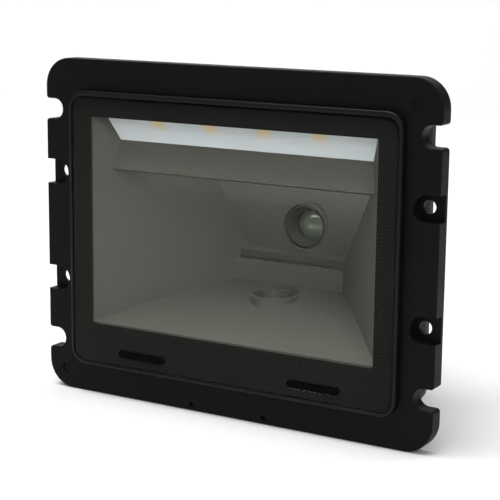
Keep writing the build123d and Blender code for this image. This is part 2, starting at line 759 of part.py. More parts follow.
def flat_cable(points, bend, width, x=0.0):
    """Ribbon with a Y-Z route of straight runs and tangent bends."""
    path = FilletPolyline(*points, radius=bend)
    strip = Plane.YZ * trace(path, RIBBON_T)
    return Pos(x, 0, 0) * extrude(strip, width / 2, both=True)


LIGHT_PLUG = (-20.0, 27.0)    # X and mouth height of the plug for the lamps' cable
SENSOR_PLUG = (25.0, -26.4)   # the same for the sensor board's cable
SMALL_CABLE_W = 5.0
CONNECTOR_LANE = MAIN_BOARD_Y - CABLE_HEIGHT


def camera_ribbon():
    level = CAMERA_BOARD_BOTTOM - CABLE_HEIGHT
    lane = MAIN_BOARD_BACK + CABLE_HEIGHT
    route = [(CAMERA_MOUTH_Y - 2.8, level), (lane, level), (lane, MAIN_MOUTH_Z + 2.8)]
    return flat_cable(route, 3.0, CABLE_W)


def lamp_ribbon():
    """From the back of the lamp board, over the mirror, to the main board."""
    back = -3.4 - RIBBON_T / 2 - 0.01
    start = strip_plane().from_local_coords(Vector(0, STRIP_H / 2 - 3.2, back))
    end = strip_plane().from_local_coords(Vector(0, STRIP_H / 2 + 0.3, back))
    x, mouth = LIGHT_PLUG
    crest = 36.0
    tip_y = end.Y + (crest - end.Z) * (end.Y - start.Y) / (end.Z - start.Z)
    route = [(start.Y, start.Z), (tip_y, crest), (CONNECTOR_LANE, crest), (CONNECTOR_LANE, mouth - 2.8)]
    return flat_cable(route, 1.0, SMALL_CABLE_W, x)


def sensor_ribbon():
    """From the back of the sensor board, under the light box, to the main board."""
    x, mouth = SENSOR_PLUG
    low = -36.4
    back = SENSOR_BOARD_Y + 1.0 + RIBBON_T / 2 + 0.01
    route = [(back, -32.0), (back, low), (CONNECTOR_LANE, low), (CONNECTOR_LANE, mouth + 2.8)]
    return flat_cable(route, 1.6, SMALL_CABLE_W, x)


def board_connectors():
    """The two plain plugs on the front of the main board."""
    lamp = front_connector_place(*LIGHT_PLUG, True) * connector_body(SMALL_CABLE_W, False)
    sensor = front_connector_place(*SENSOR_PLUG, False) * connector_body(SMALL_CABLE_W, False)
    return group([lamp, sensor])


# ---------------------------------------------------------------- presence sensor

SENSOR_BOARD_Y = 1.2


def sensor_board():
    return slab(Pos(0, -33.4) * Rectangle(82, 5.6), SENSOR_BOARD_Y, SENSOR_BOARD_Y + 1.0)


def sensor_package(x):
    """Domed infrared emitter or receiver behind one plug."""
    base = slab(Pos(x, SENSOR_Z) * Rectangle(3.2, 1.9), SENSOR_BOARD_Y - 1.1, SENSOR_BOARD_Y)
    dome = rod(x, SENSOR_BOARD_Y - 1.7, SENSOR_Z, 0.85, 0.7)
    return base + fillet(dome.edges().group_by(Axis.Y)[0], 0.4)


# ---------------------------------------------------------------- main board

def main_board():
    outline = RectangleRounded(MAIN_BOARD_W, MAIN_BOARD_H, 1.5)
    plate = slab(outline, MAIN_BOARD_Y, MAIN_BOARD_BACK)
    for x, z in four(BOARD_HOLE_X, BOARD_HOLE_Z):
        plate -= rod(x, MAIN_BOARD_Y - 1, z, 1.35, 4)
    return plate


CHIP_Z = 16.0


def processor_shield():
    """Pressed can over the decoder chips."""
    can = block((-13, 13), (MAIN_BOARD_Y - 2.6, MAIN_BOARD_Y), (CHIP_Z - 11, CHIP_Z + 11))
    can = fillet(can.edges().filter_by(Axis.Y) + can.faces().sort_by(Axis.Y)[0].edges(), 0.5)
    inside = block((-12.8, 12.8), (MAIN_BOARD_Y - 2.4, MAIN_BOARD_Y + 1), (CHIP_Z - 10.8, CHIP_Z + 10.8))
    return can - inside


def processor_chip():
    return block((-11, 2), (MAIN_BOARD_Y - 1.3, MAIN_BOARD_Y), (CHIP_Z - 6.5, CHIP_Z + 6.5))


def memory_chips():
    upper = block((4, 11.5), (MAIN_BOARD_Y - 1.0, MAIN_BOARD_Y), (CHIP_Z + 1, CHIP_Z + 9))
    lower = block((4, 11.5), (MAIN_BOARD_Y - 1.0, MAIN_BOARD_Y), (CHIP_Z - 9, CHIP_Z - 1))
    return group([upper, lower])


def power_parts():
    """Inductors and capacitors beside the socket."""
    parts = []
    for z in (-8.0, -16.0):
        coil = block((-22, -16), (MAIN_BOARD_BACK, MAIN_BOARD_BACK + 2.8), (z - 3, z + 3))
        parts.append(fillet(coil.edges().filter_by(Axis.Y), 1.0))
    for z in (4.0, 12.0, 20.0):
        parts.append(rod(-24, MAIN_BOARD_BACK, z, 2.6, 5.4))
    return group(parts)


def beeper():
    """Round sounder with a hole in its lid."""
    body = rod(BEEPER_X, MAIN_BOARD_BACK, BEEPER_Z, BEEPER_R, 5.5)
    body = fillet(body.edges().group_by(Axis.Y)[-1], 0.5)
    return body - rod(BEEPER_X, MAIN_BOARD_BACK + 4.0, BEEPER_Z, 0.9, 3)


JACK_END = TUB_END_Y - 0.2
SOCKET_W = 11.8
SOCKET_H = 6.8
SOCKET_DEPTH = 9.0


def jack_body():
    """Eight-way modular socket that faces the rear."""
    body = block((JACK_X - JACK_W / 2, JACK_X + JACK_W / 2), (MAIN_BOARD_BACK, JACK_END),
                 (JACK_Z - JACK_H / 2, JACK_Z + JACK_H / 2))
    start = JACK_END - SOCKET_DEPTH
    low = JACK_Z - SOCKET_H / 2
    high = JACK_Z + SOCKET_H / 2
    body -= block((JACK_X - SOCKET_W / 2, JACK_X + SOCKET_W / 2), (start, JACK_END + 1), (low, high))
    body -= block((JACK_X - 3.2, JACK_X + 3.2), (start, JACK_END + 1), (low - 1.4, low + 1))
    body -= block((JACK_X - 1.7, JACK_X + 1.7), (start, JACK_END + 1), (low - 2.6, low))
    for i in range(8):
        x = contact_x(i)
        body -= block((x - 0.3, x + 0.3), (start, JACK_END - 1.5), (high - 0.5, high + 1.1))
    return body


def contact_x(index):
    return JACK_X + (index - 3.5) * 1.02


def jack_contacts():
    """Eight spring wires that slant down into the socket."""
    high = JACK_Z + SOCKET_H / 2
    start = JACK_END - SOCKET_DEPTH
    wires = []
    for i in range(8):
        line = [(JACK_END - 2.0, high + 0.6), (JACK_END - 3.2, high + 0.6), (start + 0.4, high - 1.7)]
        path = FilletPolyline(*line, radius=0.5)
        wire = extrude(Plane.YZ * trace(path, 0.35), 0.175, both=True)
        wires.append(Pos(contact_x(i), 0, 0) * wire)
    return group(wires)


# ---------------------------------------------------------------- rear housing

LABEL_W = 46.0
LABEL_H = 22.0
LABEL_Z = 15.0


REAR_CUT = (TUB_END_Y - WALL - 1, TUB_END_Y + 1)   # depth of a cut right through the rear wall


def tub_solid(inset, y_end):
    """Tapered block from the mouth of the tub to y_end."""
    outline = RectangleRounded(TUB_W - 2 * inset, TUB_H - 2 * inset, SKIRT_R - inset)
    plane = Plane(origin=(0, TUB_START, 0), x_dir=(1, 0, 0), z_dir=(0, 1, 0))
    return extrude(plane * outline, y_end - TUB_START, taper=TUB_TAPER)


def standoff(x, z):
    """Post from the rear wall to the main board."""
    end = TUB_END_Y - WALL
    body = rod(x, MAIN_BOARD_BACK, z, 2.7, end - MAIN_BOARD_BACK + 0.5)
    return body - rod(x, MAIN_BOARD_BACK - 1, z, 1.05 + SCREW_FIT, 8)


def sound_slots():
    slots = Part()
    for i in (-1, 0, 1):
        slot = Pos(BEEPER_X + i * 2.4, BEEPER_Z) * SlotOverall(7.0, 1.1, rotation=90)
        slots += slab(slot, *REAR_CUT)
    return slots


def rear_housing():
    """Tub behind the flange with its screw border."""
    body = tub_solid(0, TUB_END_Y)
    rear = body.faces().sort_by(Axis.Y)[-1]
    body = fillet(rear.edges(), 1.2)
    border = rounded(SKIRT_W, SKIRT_H, SKIRT_R)
    body += slab(border, SKIRT_DEPTH, TUB_START)
    body -= tub_solid(WALL, TUB_END_Y - WALL)
    body -= slab(rounded(TUB_W - 2 * WALL, TUB_H - 2 * WALL, SKIRT_R - WALL), SKIRT_DEPTH - 1, TUB_START)
    for x, z in four(CORNER_X, CORNER_Z):
        body -= rod(x, SKIRT_DEPTH - 1, z, 1.3, 4)
    for x, z in four(BOARD_HOLE_X, BOARD_HOLE_Z):
        body += standoff(x, z)
    reach = 0.25
    body -= block((JACK_X - JACK_W / 2 - reach, JACK_X + JACK_W / 2 + reach), REAR_CUT,
                  (JACK_Z - JACK_H / 2 - reach, JACK_Z + JACK_H / 2 + reach))
    body -= slab(rounded(LABEL_W + 0.6, LABEL_H + 0.6, 1.2, z=LABEL_Z), TUB_END_Y - 0.3, TUB_END_Y + 1)
    return body - sound_slots()


def rear_label():
    """Blank rating plate in its recess."""
    return slab(rounded(LABEL_W, LABEL_H, 1.0, z=LABEL_Z), TUB_END_Y - 0.3, TUB_END_Y - 0.15)


def housing_screws():
    screws = []
    for x, z in four(CORNER_X, CORNER_Z):
        screws.append(at_back(x, TUB_START, z) * pan_screw(1.05, 9.0, 2.2, 1.6))
    return group(screws)


def board_screws():
    """Screws that hold the main board on its posts, driven from the front."""
    screws = []
    for x, z in four(BOARD_HOLE_X, BOARD_HOLE_Z):
        place = Location(facing(MAIN_BOARD_Y)) * Pos(x, z, 0)
        screws.append(place * pan_screw(1.05, 7.0, 2.1, 1.5))
    return group(screws)


# ---------------------------------------------------------------- nodes

def nodes():
    return {
        "front_housing": front_housing(),
        "bezel_gasket": bezel_gasket(),
        "window_bezel": window_bezel(),
        "window_tape": window_tape(),
        "window_glass": window_glass(),
        "border_print": border_print(),
        "sensor_window_left": sensor_window(-SENSOR_X),
        "sensor_window_right": sensor_window(SENSOR_X),
        "window_foam": window_foam(),
        "light_box": light_box(),
        "light_box_screws": light_box_screws(),
        "light_diffuser": light_diffuser(),
        "illumination_leds": illumination_leds(),
        "illumination_board": illumination_board(),
        "illumination_ribbon": lamp_ribbon(),
        "fold_mirror": fold_mirror(),
        "mirror_carrier": mirror_carrier(),
        "mirror_screws": mirror_screws(),
        "lens_barrel": lens_barrel(),
        "lens_front_element": front_element(),
        "lens_rear_element": rear_element(),
        "lens_lock_ring": lens_lock_ring(),
        "lens_holder": lens_holder(),
        "infrared_cut_filter": cut_filter(),
        "image_sensor": image_sensor(),
        "camera_board": camera_board(),
        "camera_board_screws": camera_screws(),
        "lens_holder_screws": holder_screws(),
        "camera_connector": camera_connector_place() * connector_body(CABLE_W, True),
        "camera_connector_latch": camera_connector_place() * connector_latch(CABLE_W),
        "camera_ribbon": camera_ribbon(),
        "main_connector": main_connector_place() * connector_body(CABLE_W, True),
        "main_connector_latch": main_connector_place() * connector_latch(CABLE_W),
        "board_connectors": board_connectors(),
        "sensor_board": sensor_board(),
        "infrared_emitter": sensor_package(-SENSOR_X),
        "infrared_receiver": sensor_package(SENSOR_X),
        "sensor_ribbon": sensor_ribbon(),
        "main_board": main_board(),
        "main_board_screws": board_screws(),
        "processor_shield": processor_shield(),
        "processor_chip": processor_chip(),
        "memory_chips": memory_chips(),
        "power_parts": power_parts(),
        "beeper": beeper(),
        "interface_socket": jack_body(),
        "interface_contacts": jack_contacts(),
        "rear_housing": rear_housing(),
        "housing_screws": housing_screws(),
        "rear_label": rear_label(),
    }


os.makedirs("parts", exist_ok=True)
for name, shape in nodes().items():
    export_step(shape, f"parts/{name}.step")
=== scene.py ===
import math

import bmesh
import bpy
from mathutils import Matrix, Vector


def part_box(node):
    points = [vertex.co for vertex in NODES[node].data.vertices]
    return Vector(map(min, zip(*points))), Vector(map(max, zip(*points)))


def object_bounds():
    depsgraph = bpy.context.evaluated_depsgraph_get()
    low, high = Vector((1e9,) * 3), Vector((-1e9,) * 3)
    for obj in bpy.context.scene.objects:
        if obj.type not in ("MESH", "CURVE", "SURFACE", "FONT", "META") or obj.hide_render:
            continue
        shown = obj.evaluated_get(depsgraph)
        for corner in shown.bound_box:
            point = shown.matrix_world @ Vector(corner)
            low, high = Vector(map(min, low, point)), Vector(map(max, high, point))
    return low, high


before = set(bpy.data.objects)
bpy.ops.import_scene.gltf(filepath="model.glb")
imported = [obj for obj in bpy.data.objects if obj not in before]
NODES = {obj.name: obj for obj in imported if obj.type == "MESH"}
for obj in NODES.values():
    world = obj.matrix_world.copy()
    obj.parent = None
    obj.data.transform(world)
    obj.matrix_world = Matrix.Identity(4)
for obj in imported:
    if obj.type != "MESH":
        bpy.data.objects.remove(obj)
cad_low, cad_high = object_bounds()
MM = 0.001

# ---------------------------------------------------------------- camera and studio

AZIMUTH = math.radians(30.85)
ELEVATION = math.radians(11.14)
ROLL = math.radians(0.625)
DISTANCE = 392.7 * MM
ACROSS = 3.816 * MM       # how far right of the flange's middle the camera aims
DOWN = 1.658 * MM
AIM_DEPTH = 3.93 * MM     # aim point, behind the frontmost face of the housing
LENS_MM = 106.4
SENSOR_MM = 36

FLOOR_GAP = 0.2 * MM      # between the flange's lower edge and the floor
FLOOR_FRONT = -0.55
FLOOR_BACK = 1.3
FLOOR_HALF_WIDTH = 0.95
WALL_HEIGHT = 1.6
WALL_BEND = 0.5           # radius where the floor curves up into the wall
BEND_STEPS = 16
PAPER = 0.74
FILL_STRENGTH = 0.16      # how strongly the world lights the scene
SEEN_STRENGTH = 0.96      # how bright the world looks past the backdrop

# name, place, aim, size in metres, and power in watts
SOFTBOXES = (
    ("top_softbox", (-0.15, -0.38, 1.2), (0, 0, 0), (1.0, 0.8), 15),
    ("front_softbox", (1.0, -1.4, 0.9), (0, 0, 0), (0.8, 0.8), 14),
    ("wall_light", (0.0, 0.2, 1.5), (-0.6, 1.1, 0.3), (1.6, 0.6), 20),
)

LAMP_COUNT = 4            # lamps behind the opal strip
LAMP_WIDTH = 3.2 * MM


def make_camera():
    level = math.cos(ELEVATION)
    back = Vector((math.sin(AZIMUTH) * level, -math.cos(AZIMUTH) * level, math.sin(ELEVATION)))
    right = Vector((math.cos(AZIMUTH), math.sin(AZIMUTH), 0))
    up = back.cross(right)
    aim = Vector((0, front_face() + AIM_DEPTH, 0)) + right * ACROSS - up * DOWN
    rolled_right = right * math.cos(ROLL) + up * math.sin(ROLL)
    rolled_up = up * math.cos(ROLL) - right * math.sin(ROLL)
    camera = bpy.data.objects.new("camera", bpy.data.cameras.new("camera"))
    camera.data.lens = LENS_MM
    camera.data.sensor_width = SENSOR_MM
    camera.data.clip_start = 0.01
    camera.data.clip_end = 20
    axes = Matrix((rolled_right, rolled_up, back)).transposed().to_4x4()
    camera.matrix_world = Matrix.Translation(aim + back * DISTANCE) @ axes
    bpy.context.scene.collection.objects.link(camera)
    bpy.context.scene.camera = camera


def front_face():
    """Y of the front housing's frontmost face."""
    mesh = NODES["front_housing"].data
    return min(v.co.y for v in mesh.vertices)


def area_light(name, place, target, size, power):
    data = bpy.data.lights.new(name, "AREA")
    data.shape = "RECTANGLE"
    data.size, data.size_y = size
    data.energy = power
    lamp = bpy.data.objects.new(name, data)
    lamp.location = place
    lamp.rotation_mode = "QUATERNION"
    lamp.rotation_quaternion = (Vector(target) - Vector(place)).to_track_quat("-Z", "Y")
    bpy.context.scene.collection.objects.link(lamp)


def make_backdrop():
    """Pale floor that curves up into a wall behind the object."""
    floor_z = cad_low.z - FLOOR_GAP
    bend_y = FLOOR_BACK - WALL_BEND
    bend_z = floor_z + WALL_BEND
    profile = [(FLOOR_FRONT, floor_z), (bend_y, floor_z)]
    for i in range(1, BEND_STEPS + 1):
        turn = math.pi / 2 * i / BEND_STEPS
        profile.append((bend_y + WALL_BEND * math.sin(turn), bend_z - WALL_BEND * math.cos(turn)))
    profile.append((FLOOR_BACK, floor_z + WALL_HEIGHT))
    mesh = bmesh.new()
    sides = (-FLOOR_HALF_WIDTH, FLOOR_HALF_WIDTH)
    rows = [[mesh.verts.new((x, y, z)) for x in sides] for y, z in profile]
    for a, b in zip(rows, rows[1:]):
        mesh.faces.new((a[0], a[1], b[1], b[0]))
    data = bpy.data.meshes.new("backdrop")
    mesh.to_mesh(data)
    mesh.free()
    data.shade_smooth()
    backdrop = bpy.data.objects.new("backdrop", data)
    bpy.context.scene.collection.objects.link(backdrop)
    backdrop.rotation_euler = (0, 0, AZIMUTH)
    material, _, _, shader = new_material("backdrop_paper")
    shader.inputs["Base Color"].default_value = (PAPER, PAPER, PAPER, 1)
    shader.inputs["Roughness"].default_value = 0.9
    shader.inputs["Specular IOR Level"].default_value = 0.1
    data.materials.append(material)


def make_world():
    """Dim white fill light, which shows as a white wall where no backdrop stands."""
    world = bpy.data.worlds.new("studio")
    world.use_nodes = True
    nodes, links = world.node_tree.nodes, world.node_tree.links
    fill = nodes["Background"]
    fill.inputs["Color"].default_value = (1, 1, 1, 1)
    fill.inputs["Strength"].default_value = FILL_STRENGTH
    wall = nodes.new("ShaderNodeBackground")
    wall.inputs["Color"].default_value = (1, 1, 1, 1)
    wall.inputs["Strength"].default_value = SEEN_STRENGTH
    path = nodes.new("ShaderNodeLightPath")
    mix = nodes.new("ShaderNodeMixShader")
    links.new(path.outputs["Is Camera Ray"], mix.inputs["Fac"])
    links.new(fill.outputs["Background"], mix.inputs[1])
    links.new(wall.outputs["Background"], mix.inputs[2])
    links.new(mix.outputs["Shader"], nodes["World Output"].inputs["Surface"])
    return world


def make_studio():
    scene = bpy.context.scene
    scene.view_settings.view_transform = "Standard"
    scene.world = make_world()
    make_backdrop()
    for softbox in SOFTBOXES:
        area_light(*softbox)


# ---------------------------------------------------------------- material kit

def new_material(name):
    material = bpy.data.materials.new(name)
    material.use_nodes = True
    nodes = material.node_tree.nodes
    links = material.node_tree.links
    return material, nodes, links, nodes["Principled BSDF"]


def colour(rgb, gain=1.0):
    return (rgb[0] * gain, rgb[1] * gain, rgb[2] * gain, 1)


def place_of(nodes):
    """Object coordinates: the row frame in metres."""
    found = nodes.get("place")
    if found is None:
        found = nodes.new("ShaderNodeTexCoord")
        found.name = "place"
    return found.outputs["Object"]


def noise(nodes, links, size_mm, detail=3.0, rough=0.55, stretch=None):
    """Noise with grains about size_mm across, from 0 to 1."""
    texture = nodes.new("ShaderNodeTexNoise")
    texture.inputs["Scale"].default_value = 1 / (size_mm * MM)
    texture.inputs["Detail"].default_value = detail
    texture.inputs["Roughness"].default_value = rough
    source = place_of(nodes)
    if stretch:
        mapping = nodes.new("ShaderNodeMapping")
        mapping.inputs["Scale"].default_value = stretch
        links.new(source, mapping.inputs["Vector"])
        source = mapping.outputs["Vector"]
    links.new(source, texture.inputs["Vector"])
    return texture.outputs["Fac"]


def remap(nodes, links, value, low, high, to_low, to_high, smooth=False):
    node = nodes.new("ShaderNodeMapRange")
    if smooth:
        node.interpolation_type = "SMOOTHSTEP"
    node.inputs["From Min"].default_value = low
    node.inputs["From Max"].default_value = high
    node.inputs["To Min"].default_value = to_low
    node.inputs["To Max"].default_value = to_high
    links.new(value, node.inputs["Value"])
    return node.outputs["Result"]


def maths(nodes, links, operation, a, b=None):
    node = nodes.new("ShaderNodeMath")
    node.operation = operation
    for socket, value in zip(node.inputs, (a, b)):
        if value is None:
            continue
        if isinstance(value, (int, float)):
            socket.default_value = value
        else:
            links.new(value, socket)
    return node.outputs["Value"]


def blend_colour(nodes, links, factor, a, b):
    node = nodes.new("ShaderNodeMix")
    node.data_type = "RGBA"
    for key, value in ((0, factor), (6, a), (7, b)):
        if isinstance(value, (tuple, float, int)):
            node.inputs[key].default_value = value
        else:
            links.new(value, node.inputs[key])
    return node.outputs[2]


def bump(nodes, links, height, strength, distance_mm):
    node = nodes.new("ShaderNodeBump")
    node.inputs["Strength"].default_value = strength
    node.inputs["Distance"].default_value = distance_mm * MM
    links.new(height, node.inputs["Height"])
    return node.outputs["Normal"]


def sharp_edge_mask(nodes, links, radius_mm=0.25):
    """1 on sharp edges and 0 on flats, from the turn that a bevel would give the surface."""
    bevel = nodes.new("ShaderNodeBevel")
    bevel.samples = 4
    bevel.inputs["Radius"].default_value = radius_mm * MM
    geometry = nodes.new("ShaderNodeNewGeometry")
    dot = nodes.new("ShaderNodeVectorMath")
    dot.operation = "DOT_PRODUCT"
    links.new(bevel.outputs["Normal"], dot.inputs[0])
    links.new(geometry.outputs["Normal"], dot.inputs[1])
    return remap(nodes, links, dot.outputs["Value"], 0.995, 0.80, 0, 1)


def moulded(name, base, roughness, grain_mm=0.16, grain=0.12, spread=0.25, edge_gain=1.7,
            specular=0.5):
    """Moulded plastic: fine texture, faint flow mottling, and edges made lighter and glossier,
    partly as burnished wear and partly as a painted edge highlight.
    """
    material, nodes, links, shader = new_material(name)
    mottle = noise(nodes, links, 9.0, 4.0)
    speck = noise(nodes, links, 0.5, 2.0)
    tone = blend_colour(nodes, links, mottle, colour(base, 1 - spread), colour(base, 1 + spread))
    edge = sharp_edge_mask(nodes, links)
    edge_patch_noise = remap(nodes, links, noise(nodes, links, 2.2), 0.35, 0.65, 0.25, 1)
    wear_and_highlight_edge = maths(nodes, links, "MULTIPLY", edge, edge_patch_noise)
    # painted edge highlight: sharp edges are lightened by edge_gain in patches, partly as wear and
    # partly standing in for the light that rounded edges catch
    tone = blend_colour(nodes, links, wear_and_highlight_edge, tone, colour(base, edge_gain))
    links.new(tone, shader.inputs["Base Color"])
    shine = remap(nodes, links, speck, 0.3, 0.7, roughness - 0.05, roughness + 0.06)
    smudge = remap(nodes, links, noise(nodes, links, 17.0, 3.0), 0.4, 0.75, 0, 0.06)
    shine = maths(nodes, links, "ADD", shine, smudge)
    shine = maths(nodes, links, "SUBTRACT", shine, maths(nodes, links, "MULTIPLY", wear_and_highlight_edge, 0.12))
    links.new(shine, shader.inputs["Roughness"])
    shader.inputs["Specular IOR Level"].default_value = specular
    fine = noise(nodes, links, grain_mm, 2.0, 0.6)
    links.new(bump(nodes, links, fine, grain, 0.02), shader.inputs["Normal"])
    return material


def assign(material, *names):
    for name in names:
        data = NODES[name].data
        data.materials.clear()
        data.materials.append(material)


def screw_metal(name, base, roughness, metallic=1.0):
    """Plated steel with fine turning marks and brighter recess edges."""
    material, nodes, links, shader = new_material(name)
    marks = noise(nodes, links, 0.25, 2.0, 0.5, (1.0, 1.0, 6.0))
    tone = blend_colour(nodes, links, marks, colour(base, 0.82), colour(base, 1.12))
    edge = sharp_edge_mask(nodes, links, 0.12)
    tone = blend_colour(nodes, links, edge, tone, colour(base, 1.5))
    links.new(tone, shader.inputs["Base Color"])
    shine = remap(nodes, links, marks, 0.3, 0.7, roughness - 0.08, roughness + 0.08)
    links.new(shine, shader.inputs["Roughness"])
    shader.inputs["Metallic"].default_value = metallic
    links.new(bump(nodes, links, marks, 0.15, 0.01), shader.inputs["Normal"])
    return material


# ---------------------------------------------------------------- front and window

def glass_material(name, tint, index, dust=0.012):
    """Clear pane: light from the lamps passes through it, and dust shows faintly on its face."""
    material, nodes, links, shader = new_material(name)
    shader.inputs["Base Color"].default_value = colour(tint)
    shader.inputs["Transmission Weight"].default_value = 1.0
    shader.inputs["IOR"].default_value = index
    haze = remap(nodes, links, noise(nodes, links, 6.0, 5.0, 0.7), 0.45, 0.8, 0.0, dust)
    links.new(haze, shader.inputs["Roughness"])
    clear = nodes.new("ShaderNodeBsdfTransparent")
    clear.inputs["Color"].default_value = colour(tint)
    path = nodes.new("ShaderNodeLightPath")
    mix = nodes.new("ShaderNodeMixShader")
    links.new(path.outputs["Is Shadow Ray"], mix.inputs["Fac"])
    links.new(shader.outputs["BSDF"], mix.inputs[1])
    links.new(clear.outputs["BSDF"], mix.inputs[2])
    links.new(mix.outputs["Shader"], nodes["Material Output"].inputs["Surface"])
    return material


def ink_material():
    """Screen-printed border: satin brown-black with a faint mesh texture."""
    material, nodes, links, shader = new_material("border_ink")
    base = (0.0150, 0.0142, 0.0122)
    cloud = noise(nodes, links, 7.0, 3.0)
    mesh = noise(nodes, links, 0.3, 1.0)
    broad = maths(nodes, links, "MULTIPLY", cloud, 0.7)
    fine = maths(nodes, links, "MULTIPLY", mesh, 0.3)
    factor = maths(nodes, links, "ADD", broad, fine)
    tone = blend_colour(nodes, links, factor, colour(base, 0.85), colour(base, 1.15))
    links.new(tone, shader.inputs["Base Color"])
    links.new(remap(nodes, links, mesh, 0.3, 0.7, 0.47, 0.51), shader.inputs["Roughness"])
    shader.inputs["Specular IOR Level"].default_value = 0.1
    links.new(bump(nodes, links, cloud, 0.02, 0.01), shader.inputs["Normal"])
    return material


def dress_front():
    flange = moulded("flange_plastic", (0.0044, 0.0044, 0.0046), 0.44, grain=0.05, edge_gain=2.6,
                     specular=0.07)
    assign(flange, "front_housing")
    bezel = moulded("bezel_plastic", (0.0050, 0.0050, 0.0054), 0.30, grain=0.03, spread=0.15,
                    specular=0.14)
    assign(bezel, "window_bezel")
    assign(glass_material("window_pane", (0.975, 0.985, 0.975), 1.18), "window_glass")
    assign(ink_material(), "border_print")
    plug = moulded("infrared_plug", (0.0008, 0.0007, 0.0009), 0.25, grain=0.02, specular=0.03)
    assign(plug, "sensor_window_left", "sensor_window_right")
    foam = moulded("foam_rubber", (0.012, 0.012, 0.012), 0.88, grain_mm=0.35, grain=0.6,
                   specular=0.2)
    assign(foam, "window_foam", "bezel_gasket")
    tape = moulded("seal_tape", (0.014, 0.014, 0.014), 0.6, grain_mm=0.3, grain=0.2)
    assign(tape, "window_tape")


# ---------------------------------------------------------------- light box

def diffuser_material():
    """Opal strip: the yellow lamps behind it show as faint warm spots."""
    material, nodes, links, shader = new_material("opal_strip")
    low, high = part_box("illumination_leds")
    pitch = (high.x - low.x - LAMP_WIDTH) / (LAMP_COUNT - 1)
    start = low.x + LAMP_WIDTH / 2 - pitch / 2
    separate = nodes.new("ShaderNodeSeparateXYZ")
    links.new(place_of(nodes), separate.inputs["Vector"])
    along = maths(nodes, links, "SUBTRACT", separate.outputs["X"], start)
    along = maths(nodes, links, "MAXIMUM", along, 0.0)
    along = maths(nodes, links, "MINIMUM", along, pitch * LAMP_COUNT)
    along = maths(nodes, links, "PINGPONG", along, pitch / 2)
    from_lamp = maths(nodes, links, "SUBTRACT", pitch / 2, along)
    rise = maths(nodes, links, "SUBTRACT", separate.outputs["Z"], (low.z + high.z) / 2)
    across_squared = maths(nodes, links, "MULTIPLY", from_lamp, from_lamp)
    rise_squared = maths(nodes, links, "MULTIPLY", rise, rise)
    squared = maths(nodes, links, "ADD", across_squared, rise_squared)
    distance = maths(nodes, links, "SQRT", squared)
    warm = remap(nodes, links, distance, 0.6 * MM, 3.6 * MM, 1, 0, smooth=True)
    cloud = noise(nodes, links, 12.0)
    white = blend_colour(nodes, links, cloud, (0.56, 0.60, 0.62, 1), (0.64, 0.67, 0.69, 1))
    tone = blend_colour(nodes, links, warm, white, (0.74, 0.58, 0.34, 1))
    links.new(tone, shader.inputs["Base Color"])
    shader.inputs["Roughness"].default_value = 0.45
    fine = noise(nodes, links, 0.2)
    links.new(bump(nodes, links, fine, 0.05, 0.02), shader.inputs["Normal"])
    return material


def mirror_material():
    """Front-surface coating with a few dust specks."""
    material, nodes, links, shader = new_material("mirror_coat")
    shader.inputs["Metallic"].default_value = 1.0
    dust = noise(nodes, links, 0.8, 4.0, 0.8)
    specks = remap(nodes, links, dust, 0.74, 0.80, 0, 1)
    haze = noise(nodes, links, 14.0, 3.0)
    tone = blend_colour(nodes, links, haze, (0.85, 0.87, 0.85, 1), (0.90, 0.92, 0.90, 1))
    tone = blend_colour(nodes, links, specks, tone, (0.75, 0.75, 0.73, 1))
    links.new(tone, shader.inputs["Base Color"])
    links.new(remap(nodes, links, specks, 0, 1, 0.015, 0.18), shader.inputs["Roughness"])
    return material


def dress_light_box():
    box = moulded("light_box_plastic", (0.0620, 0.0610, 0.0510), 0.5, grain=0.001, spread=0.05,
                  edge_gain=1.3, specular=0.2)
    assign(box, "light_box")
    assign(diffuser_material(), "light_diffuser")
    assign(mirror_material(), "fold_mirror")
    carrier = moulded("carrier_plastic", (0.02, 0.02, 0.02), 0.5)
    assign(carrier, "mirror_carrier")
    lamp = moulded("lamp_package", (0.86, 0.74, 0.42), 0.35, spread=0.08)
    assign(lamp, "illumination_leds")


# ---------------------------------------------------------------- camera

def coated_lens(name, tint, coat=(0.45, 1.0, 0.62)):
    """Polished glass or epoxy: a dark body under a tinted clear coat."""
    material, nodes, links, shader = new_material(name)
    bloom = noise(nodes, links, 3.0)
    tone = blend_colour(nodes, links, bloom, colour(tint, 0.8), colour(tint, 1.1))
    links.new(tone, shader.inputs["Base Color"])
    shader.inputs["Roughness"].default_value = 0.03
    shader.inputs["Coat Weight"].default_value = 1.0
    shader.inputs["Coat Roughness"].default_value = 0.02
    shader.inputs["Coat Tint"].default_value = colour(coat)
    return material


def dress_camera():
    anodised = moulded("anodised_black", (0.042, 0.042, 0.038), 0.5, grain_mm=0.1, grain=0.02,
                       edge_gain=2.2, specular=0.15)
    assign(anodised, "lens_barrel", "lens_holder")
    front_lens = coated_lens("front_lens", (0.170, 0.165, 0.140), (0.85, 1.0, 0.88))
    assign(front_lens, "lens_front_element")
    assign(coated_lens("rear_lens", (0.012, 0.020, 0.022)), "lens_rear_element")
    assign(screw_metal("turned_brass", (0.62, 0.45, 0.19), 0.3), "lens_lock_ring")
    assign(coated_lens("cut_filter", (0.05, 0.16, 0.20)), "infrared_cut_filter")
    assign(coated_lens("sensor_lid", (0.05, 0.04, 0.09)), "image_sensor")


# ---------------------------------------------------------------- electronics

